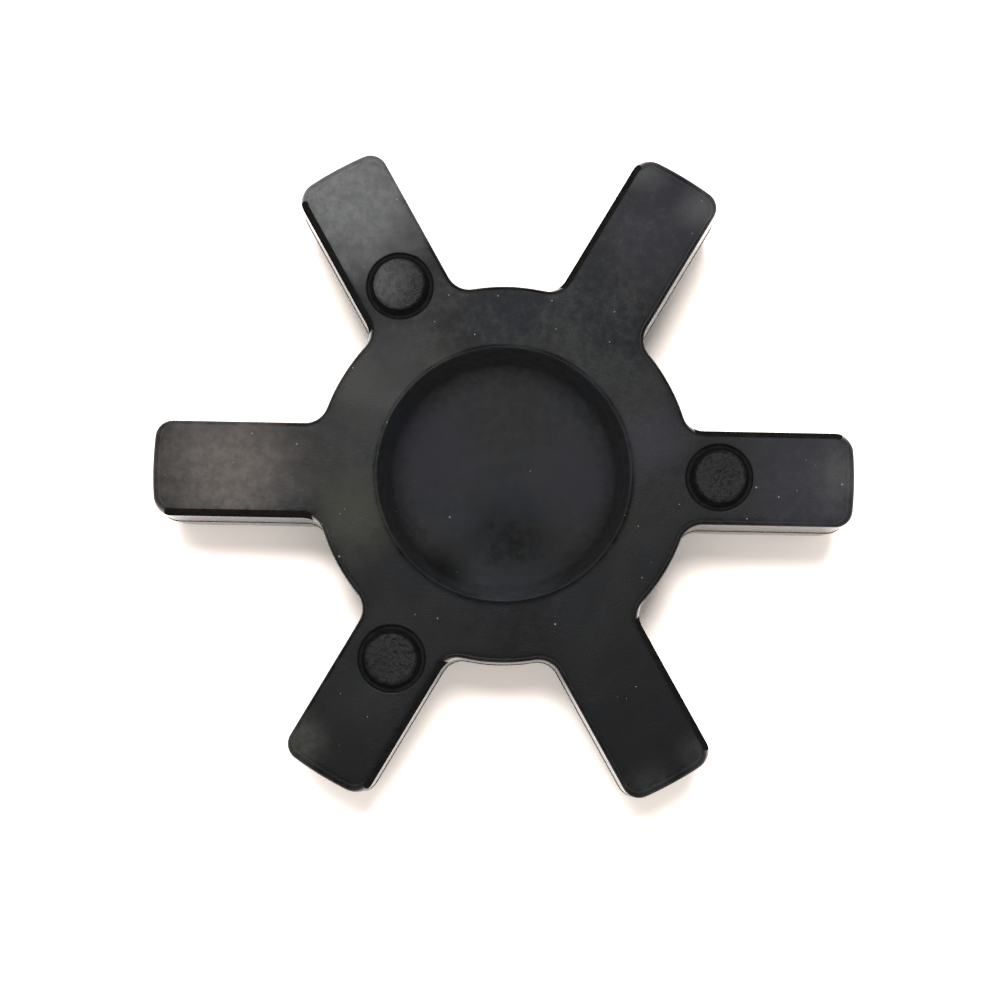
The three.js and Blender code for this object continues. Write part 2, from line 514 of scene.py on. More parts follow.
    def make_patch(self) -> bpy.types.NodeTree:
        """Builds one soft patch of painted light or shade round a place, broken up by cloudy
        noise.

        Returns:
            The group, with output Mask.
        """
        inputs = {"X": 0.0, "Y": 0.0, "Height": 0.0095, "Reach": 0.01, "Scale": 330.0}
        sheet, given, result = new_group("painted_light_patch", inputs, ("Mask",))
        place = sheet.position()
        centre = sheet.add("ShaderNodeCombineXYZ")
        for k, label in enumerate(("X", "Y", "Height")):
            sheet.link(given.outputs[label], centre.inputs[k])
        apart = sheet.add("ShaderNodeVectorMath", operation="DISTANCE")
        sheet.link(place, apart.inputs[0])
        sheet.link(centre.outputs[0], apart.inputs[1])
        away = sheet.math("DIVIDE", apart.outputs["Value"], given.outputs["Reach"])
        cloud = sheet.noise(place, given.outputs["Scale"], detail=5.0, roughness=0.62)
        raggedness = 0.6
        away = sheet.math("MULTIPLY_ADD", sheet.math("SUBTRACT", cloud, 0.5), raggedness, away)
        sheet.link(sheet.span(away, (0.10, 1.10), (1.0, 0.0)), result.inputs[0])
        return sheet.tree


@dataclass(frozen=True)
class Patch:
    """Soft patch of painted sheen, highlight or shade on the rubber, placed in metres from the
    centre.
    """

    x: float
    y: float
    reach: float
    colour: Colour
    share: float
    height: float = 0.0095


@dataclass(frozen=True)
class RubberFinish:
    """Finish of one kind of surface on the rubber.

    Colours are linear, lengths are in metres, and scales are per metre. The patches paint sheen,
    highlights and shade into the colour. The last fields say how much of each effect reaches the
    colour, the roughness and the height.
    """

    name: str
    dark: Colour = (0.0020, 0.0020, 0.0021)
    light: Colour = (0.0100, 0.0102, 0.0112)
    cool: Colour = (0.0072, 0.0102, 0.0165)
    warm: Colour = (0.0130, 0.0124, 0.0098)
    tint_share: float = 0.6
    patches: tuple[Patch, ...] = ()
    scuff_colour: Colour = (0.030, 0.030, 0.029)
    dust_colour: Colour = (0.30, 0.29, 0.27)
    dust_share: float = 0.035
    dust_scale: float = 1900.0
    roughness: tuple[float, float] = (0.34, 0.46)
    specular: float = 0.085
    mottle_scale: float = 850.0
    mottle_contrast: float = 3.4
    mottle_depth: float = 0.8
    patch_break: float = 0.4
    grain_scale: float = 5600.0
    grain_depth: float = 0.00004
    grain_strength: float = 0.40
    scuff_share: float = 0.5
    scuff_paleness: float = 0.35
    scuff_height: float = -0.2
    cloud_gloss: float = 0.35
    patch_gloss: float = 0.65
    dust_dullness: float = 0.3
    dust_height: float = 1.5

    def build(self, effects: SurfaceEffects) -> bpy.types.Material:
        """Builds the material.

        Args:
            effects: Node groups that the finishes share.

        Returns:
            The material.
        """
        material = bpy.data.materials.new(self.name)
        material.use_nodes = True
        sheet = NodeSheet(material.node_tree)
        shader = material.node_tree.nodes["Principled BSDF"]
        mottle = self.place(
            sheet, effects.mottle, Scale=self.mottle_scale, Contrast=self.mottle_contrast
        )
        patchy = mottle.outputs["Patches"]
        grain = self.place(sheet, effects.grain, Scale=self.grain_scale)
        scuffs = self.place(sheet, effects.scuffs, Share=self.scuff_share).outputs["Mask"]
        specks = self.place(sheet, effects.dust, Share=self.dust_share, Scale=self.dust_scale)
        dust = specks.outputs["Mask"]
        tint = self.place(sheet, effects.tint)

        skin: Socket | Colour = self.light
        for label, colour in (("Cool", self.cool), ("Warm", self.warm)):
            skin = sheet.blend(sheet.product(tint.outputs[label], self.tint_share), skin, colour)
        dull = sheet.span(patchy, (0.0, 1.0), (self.mottle_depth, 0.0))
        skin = sheet.blend(dull, skin, self.dark)
        kept = sheet.span(patchy, (0.0, 1.0), (1.0 - self.patch_break, 1.0))
        # Painted sheen, painted highlights and painted shade, one patch at a time.
        for patch in self.patches:
            spot = self.place(
                sheet, effects.patch, X=patch.x, Y=patch.y, Height=patch.height, Reach=patch.reach
            )
            share = sheet.product(spot.outputs["Mask"], patch.share)
            skin = sheet.blend(sheet.product(share, kept), skin, patch.colour)
        skin = sheet.blend(sheet.product(scuffs, self.scuff_paleness), skin, self.scuff_colour)
        skin = sheet.blend(dust, skin, self.dust_colour)
        sheet.link(skin, shader.inputs["Base Color"])

        cloudy = sheet.product(patchy, self.patch_gloss)
        cloudy = sheet.math("MULTIPLY_ADD", mottle.outputs["Clouds"], self.cloud_gloss, cloudy)
        rough = sheet.span(cloudy, (0.2, 0.8), self.roughness, smooth=False)
        rough = sheet.math("ADD", rough, sheet.product(dust, self.dust_dullness))
        sheet.link(rough, shader.inputs["Roughness"])
        shader.inputs["Specular IOR Level"].default_value = self.specular

        height = grain.outputs["Height"]
        for mask, lift in ((scuffs, self.scuff_height), (dust, self.dust_height)):
            height = sheet.math("MULTIPLY_ADD", mask, lift, height)
        bump = sheet.add("ShaderNodeBump")
        bump.inputs["Strength"].default_value = self.grain_strength
        bump.inputs["Distance"].default_value = self.grain_depth
        sheet.link(height, bump.inputs["Height"])
        sheet.link(bump.outputs["Normal"], shader.inputs["Normal"])
        return material

    @staticmethod
    def place(sheet: NodeSheet, tree: bpy.types.NodeTree, **values: float) -> bpy.types.Node:
        """Places a node group and sets its inputs.

        Args:
            sheet: Sheet of the material.
            tree: Node group to place.
            **values: Number for each named input.

        Returns:
            The group's node.
        """
        node = sheet.add("ShaderNodeGroup", node_tree=tree)
        for label, value in values.items():
            node.inputs[label].default_value = value
        return node


@dataclass(frozen=True)
class RoundedEdge:
    """Edge between a face and a side. Its curve is a quarter of an ellipse at roundness 2."""

    width: float
    depth: float
    roundness: float

    def inset(self, depth: float) -> float:
        """Gives how far the edge has drawn the side in at a depth below the face."""
        left = 1.0 - min(1.0, depth / self.depth)
        return self.width * (1.0 - (1.0 - left**self.roundness) ** (1.0 / self.roundness))


@dataclass(frozen=True)
class Inset:
    """How far each kind of side is set in from the outline at mid-thickness."""

    plain: float
    tip: float
    clockwise: float
    counter: float

    @classmethod
    def even(cls, value: float) -> "Inset":
        """Gives the same inset on every side."""
        return cls(value, value, value, value)

    def deeper(self, step: float) -> "Inset":
        """Gives the insets of an outline that runs a step further in."""
        sides = (self.plain, self.tip, self.clockwise, self.counter)
        return Inset(*(side + step for side in sides))


@dataclass(frozen=True)
class StarPlan:
    """Outline of the hub and its legs in plan."""

    leg_count: int = 6
    outside_diameter: float = 82.55
    hub_diameter: float = 44.45
    leg_width: float = 11.4
    root_fillet: float = 2.6
    tip_corner: float = 2.2
    bead_reach: float = 0.1
    hub_steps: int = 12
    fillet_steps: int = 8
    side_steps: int = 14
    corner_steps: int = 8
    tip_steps: int = 10

    @property
    def pitch(self) -> float:
        """Angle between neighbouring legs."""
        return 2.0 * math.pi / self.leg_count

    def leg(self, inset: Inset) -> Profile:
        """Gives the outline of the leg along +X and of the hub half way to its neighbours.

        Args:
            inset: How far each kind of side is set in.

        Returns:
            The points, counter-clockwise.
        """
        hub = self.hub_diameter / 2 - inset.plain
        tip = self.outside_diameter / 2 - self.bead_reach - inset.tip
        fillet = self.root_fillet + inset.plain
        corner = max(0.2, self.tip_corner - inset.plain)
        right = self.leg_width / 2 - inset.clockwise
        left = self.leg_width / 2 - inset.counter
        quarter = math.pi / 2
        root_a = self.beside(-(right + fillet), hub + fillet)
        corner_a = self.beside(-(right - corner), tip - corner)
        corner_b = self.beside(left - corner, tip - corner)
        root_b = self.beside(left + fillet, hub + fillet)
        angles = [math.atan2(y, x) for x, y in (root_a, corner_a, corner_b, root_b)]
        half = self.hub_steps // 2
        points = arc(0, 0, hub, -self.pitch / 2, angles[0], half)[:-1]
        points += arc(*root_a, fillet, angles[0] + math.pi, quarter, self.fillet_steps)
        points += self.straight(points[-1], (corner_a[0], corner_a[1] - corner))
        points += arc(*corner_a, corner, -quarter, angles[1], self.corner_steps)
        points += arc(0, 0, tip, angles[1], angles[2], self.tip_steps)[1:-1]
        points += arc(*corner_b, corner, angles[2], quarter, self.corner_steps)
        points += self.straight(points[-1], (root_b[0], root_b[1] - fillet))
        points += arc(*root_b, fillet, -quarter, angles[3] - math.pi, self.fillet_steps)
        points += arc(0, 0, hub, angles[3], self.pitch / 2, half)[1:-1]
        return points

    def counter_side(self) -> tuple[int, int]:
        """Finds a leg's counter-clockwise side, where it has the wide bevel.

        Returns:
            The places in the leg's outline where the side starts and ends.
        """
        turned = self.corner_steps * 3 // 4
        root = self.hub_steps // 2 + self.fillet_steps
        start = root + self.side_steps + self.corner_steps + self.tip_steps + turned
        end = start + self.corner_steps - turned + self.side_steps + self.fillet_steps // 3 + 1
        return start, end

    @staticmethod
    def beside(offset: float, distance: float) -> tuple[float, float]:
        """Gives the point at an offset from the leg's centre line and a distance from the axis."""
        return math.sqrt(distance * distance - offset * offset), offset

    def straight(self, start: tuple[float, float], end: tuple[float, float]) -> Profile:
        """Divides a leg's straight side.

        Args:
            start: First end of the side.
            end: Last end of the side.

        Returns:
            The points between the two ends, without them.
        """
        steps = self.side_steps
        run, rise = end[0] - start[0], end[1] - start[1]
        return [(start[0] + run * i / steps, start[1] + rise * i / steps) for i in range(1, steps)]

    def outline(self, inset: Inset) -> Profile:
        """Gives the whole outline.

        Args:
            inset: How far each kind of side is set in.

        Returns:
            The points, counter-clockwise.
        """
        points: Profile = []
        for leg in range(self.leg_count):
            c, s = math.cos(leg * self.pitch), math.sin(leg * self.pitch)
            points += [(x * c - y * s, x * s + y * c) for x, y in self.leg(inset)]
        return points


@dataclass(frozen=True)
class Recess:
    """Round recess in a face, with the thin raised flash round its rim.

    The flash is given as pairs of the distance outside the rim and the share of its height, the
    wall as depths below the face, and the floor as shares of the radius of its flat.
    """

    diameter: float = 29.5
    depth: float = 6.35
    wall_angle: float = 18.0
    floor_fillet: float = 2.9
    fillet_steps: int = 14
    flash_height: float = 0.10
    flash: tuple[tuple[float, float], ...] = (
        (1.15, 0.0), (0.9, 0.0), (0.65, 0.03), (0.44, 0.2), (0.32, 0.55), (0.23, 0.9),
        (0.15, 1.0), (0.08, 0.86), (0.03, 0.4),
    )
    wall: tuple[float, ...] = (0.08, 0.25, 0.6, 1.2, 2.0, 2.8, 3.6)
    floor: tuple[float, ...] = (0.95, 0.89, 0.82, 0.74, 0.65, 0.55, 0.44, 0.32, 0.2, 0.09)
    rim_width: float = 0.1
    segments: int = 144

    @property
    def outer_radius(self) -> float:
        """Radius at which the flash has died out in the face."""
        return self.diameter / 2 + self.flash[0][0]

    def profile(self) -> Profile:
        """Gives the recess in section.

        Returns:
            Pairs of radius and height above the face, from the face to the middle of the floor.
        """
        lean = math.radians(self.wall_angle)
        mouth, fillet = self.diameter / 2, self.floor_fillet
        foot = mouth - self.depth * math.tan(lean)
        flat = foot - fillet * math.tan((math.pi / 2 - lean) / 2)
        points = [(mouth + out, self.flash_height * share) for out, share in self.flash]
        points += [(mouth - drop * math.tan(lean), -drop) for drop in self.wall]
        points += arc(flat, fillet - self.depth, fillet, -lean, -math.pi / 2, self.fillet_steps)
        points += [(flat * share, -self.depth) for share in self.floor]
        return points

    def add_to(self, draft: MeshDraft, face: float) -> list[int]:
        """Adds the recess to a draft.

        Args:
            draft: Draft of the half body.
            face: Height of the face.

        Returns:
            The outermost ring, which lies in the face.
        """
        profile = self.profile()
        rings = []
        for radius, height in profile:
            ring = []
            for i in range(self.segments):
                angle = 2.0 * math.pi * i / self.segments
                c, s = math.cos(angle), math.sin(angle)
                lift = height * self.unevenness(c, s) if height > 0.0 else height
                ring.append((radius * c, radius * s, face + lift))
            rings.append(draft.add_points(ring))
        rim = self.diameter / 2 + self.rim_width
        for (radius, _), outer, inner in zip(profile, rings, rings[1:]):
            draft.join(outer, inner, Zone.FACE if radius > rim else Zone.RECESS)
        centre = draft.add_points([(0.0, 0.0, face - self.depth)])[0]
        draft.close(rings[-1], centre, Zone.RECESS)
        return rings[0]

    @staticmethod
    def unevenness(c: float, s: float) -> float:
        """Gives the share of the flash's height in the direction of a cosine and a sine."""
        broad = 0.78 + 0.5 * ripple(9.0 * c, 9.0 * s, 0.0, 2.6, 3.1)
        return broad * (1.0 + 0.3 * ripple(40.0 * c, 40.0 * s, 0.0, 2.2, 7.7))


@dataclass(frozen=True)
class Nub:
    """Tapered round nub in a ring groove, with a torn and roughened top."""

    height: float = 1.6
    top_diameter: float = 5.9
    taper_angle: float = 15.0
    edge_radius: float = 0.3
    groove_diameter: float = 7.8
    groove_depth: float = 0.4
    tear_depth: float = 0.16
    lip: float = 0.2
    unevenness: float = 0.05
    edge_steps: int = 5
    top_rings: int = 18
    segments: int = 72

    @property
    def outer_radius(self) -> float:
        """Radius at which the groove's edge has died out in the face."""
        return self.groove_diameter / 2 + self.lip

    def profile(self) -> Profile:
        """Gives the nub and its groove in section.

        Returns:
            Pairs of radius and height above the face, from the face to near the middle of the top.
        """
        lean = math.radians(self.taper_angle)
        groove, deep = self.groove_diameter / 2, -self.groove_depth
        shoulder = self.height - self.edge_radius
        foot = self.top_diameter / 2 + (self.height - deep) * math.tan(lean)
        top = self.top_diameter / 2 + self.edge_radius * math.tan(lean) - self.edge_radius
        points = [(self.outer_radius, 0.0), (groove + 0.12, 0.0), (groove + 0.05, -0.02)]
        points += [(groove, -0.09), (groove - 0.03, -0.24), (groove - 0.09, deep + 0.04)]
        points += [(groove - 0.2, deep), (foot + 0.1, deep), (foot, deep + 0.06)]
        for share in (0.2, 0.4, 0.6, 0.8):
            height = deep + (shoulder - deep) * share
            points.append((foot - (height - deep) * math.tan(lean), height))
        points += arc(top, shoulder, self.edge_radius, 0.0, math.pi / 2, self.edge_steps)
        count = self.top_rings
        points += [(top * (1.0 - i / count), self.height) for i in range(1, count)]
        return points

    def add_to(
        self, draft: MeshDraft, centre: tuple[float, float], face: float, layer: float
    ) -> list[int]:
        """Adds the nub and its groove to a draft.

        Args:
            draft: Draft of the half body.
            centre: Place of the nub's axis in plan.
            face: Height of the face.
            layer: Number that gives each nub its own roughness.

        Returns:
            The outermost ring, which lies in the face.
        """
        rings = []
        zones = []
        shoulder = self.height - self.edge_radius
        for radius, height in self.profile():
            torn = smoothstep(shoulder, self.height, height) * self.tear_depth
            sway = self.unevenness * max(0.0, height / self.height)
            ring = []
            for i in range(self.segments):
                angle = 2.0 * math.pi * i / self.segments
                c, s = math.cos(angle), math.sin(angle)
                reach = radius + sway * ripple(3.0 * c, 3.0 * s, height, 1.6, layer)
                x, y = reach * c, reach * s
                lift = height - (torn * self.torn(x, y, layer) if torn > 0.0 else 0.0)
                ring.append((centre[0] + x, centre[1] + y, face + lift))
            rings.append(draft.add_points(ring))
            zones.append(Zone.NUB_TOP if height > shoulder else Zone.TRIMMED)
        for k, (outer, inner) in enumerate(zip(rings, rings[1:])):
            draft.join(outer, inner, Zone.FACE if k < 2 else zones[k])
        lift = self.height - self.tear_depth * self.torn(0.0, 0.0, layer)
        middle = draft.add_points([(*centre, face + lift)])[0]
        draft.close(rings[-1], middle, Zone.NUB_TOP)
        return rings[0]

    @staticmethod
    def torn(x: float, y: float, layer: float) -> float:
        """Gives how deep the nub's top is torn at a place, from 0 to 1.

        Args:
            x: First coordinate from the nub's axis.
            y: Second coordinate from the nub's axis.
            layer: Number that gives each nub its own roughness.

        Returns:
            The share of the deepest tear.
        """
        broad = 0.5 + 0.5 * ripple(x, y, 0.0, 1.7, layer)
        crumbs = 0.5 + 0.5 * ripple(x, y, 0.0, 0.55, layer + 4.0)
        fine = 0.5 + 0.5 * ripple(x, y, 0.0, 0.3, layer + 9.0)
        return min(1.0, max(0.0, 0.4 * broad + 0.45 * crumbs + 0.25 * fine - 0.05))


@dataclass
class SpiderBody:
    """The one-piece rubber spider.

    The crown of a face is given as pairs of the distance from the face's edge and the share of the
    drop there. Each sink is the most that the moulding is drawn in from the true form. The layers
    set off the noise of one nub, and of one half, from the next.
    """

    plan: StarPlan = field(default_factory=StarPlan)
    recess: Recess = field(default_factory=Recess)
    nub: Nub = field(default_factory=Nub)
    thickness: float = 19.05
    draft_angle: float = 1.0
    nub_circle: float = 25.2
    bead_half_height: float = 0.25
    tip_edge: RoundedEdge = RoundedEdge(0.8, 0.8, 2.0)
    plain_edge: RoundedEdge = RoundedEdge(0.4, 0.5, 2.0)
    bevel: RoundedEdge = RoundedEdge(0.75, 1.5, 1.25)
    edge_steps: int = 14
    bead_shares: tuple[float, ...] = (0.0, 0.3, 0.55, 0.75, 0.9, 1.0)
    side_heights: tuple[float, ...] = (0.45, 1.5, 3.0, 4.5, 6.0, 7.3)
    crown_drop: float = 0.035
    crown: tuple[tuple[float, float], ...] = ((0.14, 0.55), (0.32, 0.22), (0.55, 0.0))
    face_sink: float = 0.03
    side_sink: float = 0.025
    fine_sink: float = 0.012
    nub_layer: float = 1.7
    lower_layer: float = 11.3
    fill_spacing: float = 1.1
    row_share: float = 0.866
    crease: float = math.radians(38.0)

    @property
    def face(self) -> float:
        """Height of a face above mid-thickness."""
        return self.thickness / 2

    def side_levels(self) -> list[tuple[float, Inset]]:
        """Gives the outlines of a half body's side from mid-thickness to the face.

        Returns:
            Height and insets of each outline.
        """
        slope = math.tan(math.radians(self.draft_angle))
        reach = self.plan.bead_reach
        levels = []
        for share in self.bead_shares:
            bulge = -reach * math.sqrt(1.0 - share * share)
            levels.append((self.bead_half_height * share, Inset.even(bulge)))
        for height in self.side_heights:
            levels.append((height, Inset.even(height * slope)))
        deepest = max(self.tip_edge.depth, self.plain_edge.depth, self.bevel.depth)
        for i in range(self.edge_steps, -1, -1):
            depth = deepest * (1.0 - math.cos(math.pi / 2 * i / self.edge_steps))
            height = self.face - depth
            drawn = height * slope
            edges = (self.plain_edge, self.tip_edge, self.plain_edge, self.bevel)
            levels.append((height, Inset(*(drawn + edge.inset(depth) for edge in edges))))
        return levels

    def half(self, which: Half) -> MeshDraft:
        """Drafts one half of the body, as the upper one, with its recess and nubs.

        Args:
            which: Half that the draft is for.

        Returns:
            The draft.
        """
        draft = MeshDraft()
        levels = self.side_levels()
        rings = [
            draft.add_points([(x, y, height) for x, y in self.plan.outline(inset)])
            for height, inset in levels
        ]
        edge = levels[-1][1]
        edge_zones = self.edge_zones(edge)
        side_zones = [Zone.SIDE if zone is Zone.EDGE else zone for zone in edge_zones]
        face_zones = [Zone.EDGE if zone is Zone.EDGE else Zone.FACE for zone in edge_zones]
        for (height, _), lower, upper in zip(levels, rings, rings[1:]):
            zones: Zone | list[Zone] = Zone.SIDE
            if height >= self.face - self.bevel.depth - 1e-6:
                zones = side_zones
            if height >= self.face - self.plain_edge.depth:
                zones = edge_zones
            draft.join(lower, upper, zones)
        rim = rings[-1]
        for index in rim:
            draft.points[index] = (*draft.points[index][:2], self.face - self.crown_drop)
        zones = face_zones
        for step, drop in self.crown:
            height = self.face - self.crown_drop * drop
            outline = self.plan.outline(edge.deeper(step))
            inner = draft.add_points([(x, y, height) for x, y in outline])
            draft.join(rim, inner, zones)
            rim, zones = inner, Zone.FACE
        holes = [(0.0, 0.0, self.recess.outer_radius)]
        hole_rings = [self.recess.add_to(draft, self.face)]
        nubs = self.plan.leg_count // 2
        for k in range(nubs):
            angle = 2.0 * math.pi * k / nubs
            centre = (self.nub_circle * math.cos(angle), self.nub_circle * math.sin(angle))
            layer = self.nub_layer * k + (0.0 if which is Half.UPPER else self.lower_layer)
            hole_rings.append(self.nub.add_to(draft, centre, self.face, layer))
            holes.append((*centre, self.nub.outer_radius))
        self.fill_face(draft, rim, hole_rings, holes)
        return draft

    def edge_zones(self, inset: Inset) -> list[Zone]:
        """Gives the kind of surface at each place along the outline, near the face.

        Args:
            inset: Insets at the face.

        Returns:
            One zone for each step of the outline.
        """
        count = len(self.plan.leg(inset))
        start, end = self.plan.counter_side()
        zones = [Zone.EDGE] * count
        zones[start:end] = [Zone.TRIMMED] * (end - start)
        return zones * self.plan.leg_count

    def fill_face(
        self,
        draft: MeshDraft,
        rim: list[int],
        hole_rings: list[list[int]],
        holes: list[Hole],
    ) -> None:
        """Fills the flat of a face with even triangles between its rim and its holes.

        Args:
            draft: Draft of the half body.
            rim: Outline of the flat.
            hole_rings: Ring of points round each hole.
            holes: Centre and radius of each hole.
        """
        known = list(rim)
        edges = [(i, (i + 1) % len(rim)) for i in range(len(rim))]
        for ring in hole_rings:
            first = len(known)
            known += ring
            edges += [(first + i, first + (i + 1) % len(ring)) for i in range(len(ring))]
        flat = np.array([draft.points[i][:2] for i in known])
        spots = self.fill_spots(flat[: len(rim)], holes)
        known += draft.add_points([(x, y, self.face) for x, y in spots])
        points = [Vector(p) for p in flat] + [Vector(p) for p in spots]
        result = geometry.delaunay_2d_cdt(points, edges, [], 1, 1e-7)
        places, triangles, sources = result[0], result[2], result[3]
        for triangle in triangles:
            corners = [places[i] for i in triangle]
            middle = sum(corners, Vector((0.0, 0.0))) / 3.0
            if any(math.hypot(middle.x - x, middle.y - y) < r * 0.9995 for x, y, r in holes):
                continue
            a, b, c = (known[sources[i][0]] for i in triangle)
            area = (corners[1] - corners[0]).cross(corners[2] - corners[0])
            draft.add_face((a, b, c) if area > 0.0 else (a, c, b), Zone.FACE)

    def fill_spots(
        self, rim: np.ndarray, holes: list[Hole]
    ) -> list[tuple[float, float]]:
        """Spreads points evenly over the flat of a face, clear of its rim and holes.

        Args:
            rim: Outline of the flat.
            holes: Centre and radius of each hole.

        Returns:
            The points.
        """
        gap = self.fill_spacing
        reach = self.plan.outside_diameter / 2
        rows = []
        count = int(reach / (gap * self.row_share)) + 1
        for j in range(-count, count + 1):
            start = -reach + (gap / 2 if j % 2 else 0.0)
            rows += [(x, j * gap * self.row_share) for x in np.arange(start, reach, gap)]
        spots = np.array(rows)
        start, end = rim, np.roll(rim, -1, axis=0)
        along = end - start
        offset = spots[:, None, :] - start[None]
        share = np.clip((offset * along).sum(2) / (along * along).sum(1), 0.0, 1.0)
        distance = np.linalg.norm(offset - share[..., None] * along, axis=2).min(axis=1)
        above = (start[None, :, 1] > spots[:, None, 1]) != (end[None, :, 1] > spots[:, None, 1])
        run = np.where(np.abs(along[:, 1]) < 1e-12, 1e-12, along[:, 1])
        cross = start[None, :, 0] + (spots[:, None, 1] - start[None, :, 1]) * along[:, 0] / run
        inside = ((above & (spots[:, None, 0] < cross)).sum(axis=1) % 2) == 1
        keep = inside & (distance > 0.45 * gap)
        for x, y, radius in holes:
            keep &= np.hypot(spots[:, 0] - x, spots[:, 1] - y) > radius + 0.4 * gap
        return [(float(x), float(y)) for x, y in spots[keep]]

    def worn(self, point: Vector) -> Vector:
        """Gives a point of the true form the small unevenness of a moulding.

        Args:
            point: Place on the true form.

        Returns:
            The place on the moulding, never outside the box of the solid.
        """
        x, y, z = point
        flat = smoothstep(self.face - 0.8, self.face - 0.05, abs(z))
        sink = 0.5 + 0.5 * ripple(x, y, z, 7.0, 5.0)
        z -= math.copysign(self.face_sink * flat * sink, z) if z else 0.0
        radius = math.hypot(x, y)
        if radius > 1.0:
            drawn = self.side_sink * (0.5 + 0.5 * ripple(x, y, z, 5.0, 2.0))
            drawn += self.fine_sink * (0.5 + 0.5 * ripple(x, y, z, 1.3, 6.0))
            # The recess and its rim keep their true form.
            drawn *= smoothstep(16.5, 21.0, radius)
            x -= x / radius * drawn
            y -= y / radius * drawn
        low, high = CAD_LOW / METRES, CAD_HIGH / METRES
        return Vector([min(max(place, a), b) for place, a, b in zip((x, y, z), low, high)])

    def build(self, materials: Sequence[bpy.types.Material]) -> bpy.types.Object:
        """Builds the spider, which stands for its solid.

        Args:
            materials: One material per zone.

        Returns:
            The piece.
        """
        draft = MeshDraft()
        draft.merge(self.half(Half.UPPER), Matrix.Identity(3))
        across = Vector((math.cos(self.plan.pitch / 2), math.sin(self.plan.pitch / 2), 0.0))
        draft.merge(self.half(Half.LOWER), Matrix.Rotation(math.pi, 3, across))
        draft.displace(self.worn)
        piece = draft.to_object("spider_moulding", materials, self.crease)
        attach(piece, "root")
        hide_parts("spider")
        return piece


@dataclass(frozen=True)
class PaleFloor:
    """Plain floor that the spider lies on."""

    half_width: float = 6.0
    colour: Colour = (0.85, 0.84, 0.82)
    seen_colour: Colour = (2.65, 2.42, 2.24)

    def build(self) -> bpy.types.Object:
        """Builds the floor at the lowest point of the solid.

        Returns:
            The floor.
        """
        w, z = self.half_width, CAD_LOW.z
        mesh = bpy.data.meshes.new("floor")
        mesh.from_pydata([(-w, -w, z), (w, -w, z), (w, w, z), (-w, w, z)], [], [(0, 1, 2, 3)])
        mesh.materials.append(self.finish())
        floor = bpy.data.objects.new("floor", mesh)
        bpy.context.scene.collection.objects.link(floor)
        return floor

    def finish(self) -> bpy.types.Material:
        """Builds matt paper that shows white to the camera where no shadow falls.

        Returns:
            The material.
        """
        material = bpy.data.materials.new("pale_floor")
        material.use_nodes = True
        sheet = NodeSheet(material.node_tree)
        material.node_tree.nodes.remove(material.node_tree.nodes["Principled BSDF"])
        rays = sheet.add("ShaderNodeLightPath")
        seen = sheet.math("MAXIMUM", rays.outputs["Is Camera Ray"], rays.outputs["Is Glossy Ray"])
        seen = sheet.math("MAXIMUM", seen, rays.outputs["Is Transmission Ray"])
        paper = sheet.add("ShaderNodeBsdfDiffuse")
        colour = sheet.blend(seen, self.colour, self.seen_colour)
        sheet.link(colour, paper.inputs["Color"])
        sheet.link(paper.outputs[0], material.node_tree.nodes["Material Output"].inputs["Surface"])
        return material


@dataclass(frozen=True)
class SoftBox:
    """Round studio light that faces the spider.

    Angles are in degrees: azimuth from +X towards +Y, and lean from straight above. The level is
    the share of its written brightness that a flat matt colour shows under this light alone.
    """

    name: str
    azimuth: float
    lean: float
    level: float
    diameter: float
    distance: float = 1.0

    def build(self) -> bpy.types.Object:
        """Builds the light.

        Returns:
            The light.
        """
        lamp = bpy.data.lights.new(self.name, "AREA")
        lamp.shape = "DISK"
        lamp.size = self.diameter
        turn, lean = math.radians(self.azimuth), math.radians(self.lean)
        lamp.energy = self.level * (math.pi * self.distance) ** 2 / math.cos(lean)
        light = bpy.data.objects.new(self.name, lamp)
        out = math.sin(lean)
        way = Vector((out * math.cos(turn), out * math.sin(turn), math.cos(lean)))
        light.location = way * self.distance
        light.rotation_euler = way.to_track_quat("Z", "Y").to_euler()
        light.visible_camera = False
        bpy.context.scene.collection.objects.link(light)
        return light


@dataclass(frozen=True)
class Studio:
    """Floor, lights and surroundings."""

    floor: PaleFloor = PaleFloor()
    lights: tuple[SoftBox, ...] = (
        SoftBox("key_light", azimuth=92.0, lean=13.0, level=0.50, diameter=0.24),
        SoftBox("side_light", azimuth=127.0, lean=17.0, level=0.11, diameter=0.20),
        SoftBox("front_light", azimuth=270.0, lean=42.0, level=0.11, diameter=0.50),
    )
    surroundings: Colour = (0.28, 0.28, 0.28)

    def build(self) -> None:
        """Builds the studio."""
        self.floor.build()
        for light in self.lights:
            light.build()
        world = bpy.data.worlds.new("surroundings")
        world.use_nodes = True
        backdrop = world.node_tree.nodes["Background"]
        backdrop.inputs["Color"].default_value = (*self.surroundings, 1.0)
        backdrop.inputs["Strength"].default_value = 1.0
        bpy.context.scene.world = world
        bpy.context.scene.view_settings.view_transform = "Standard"


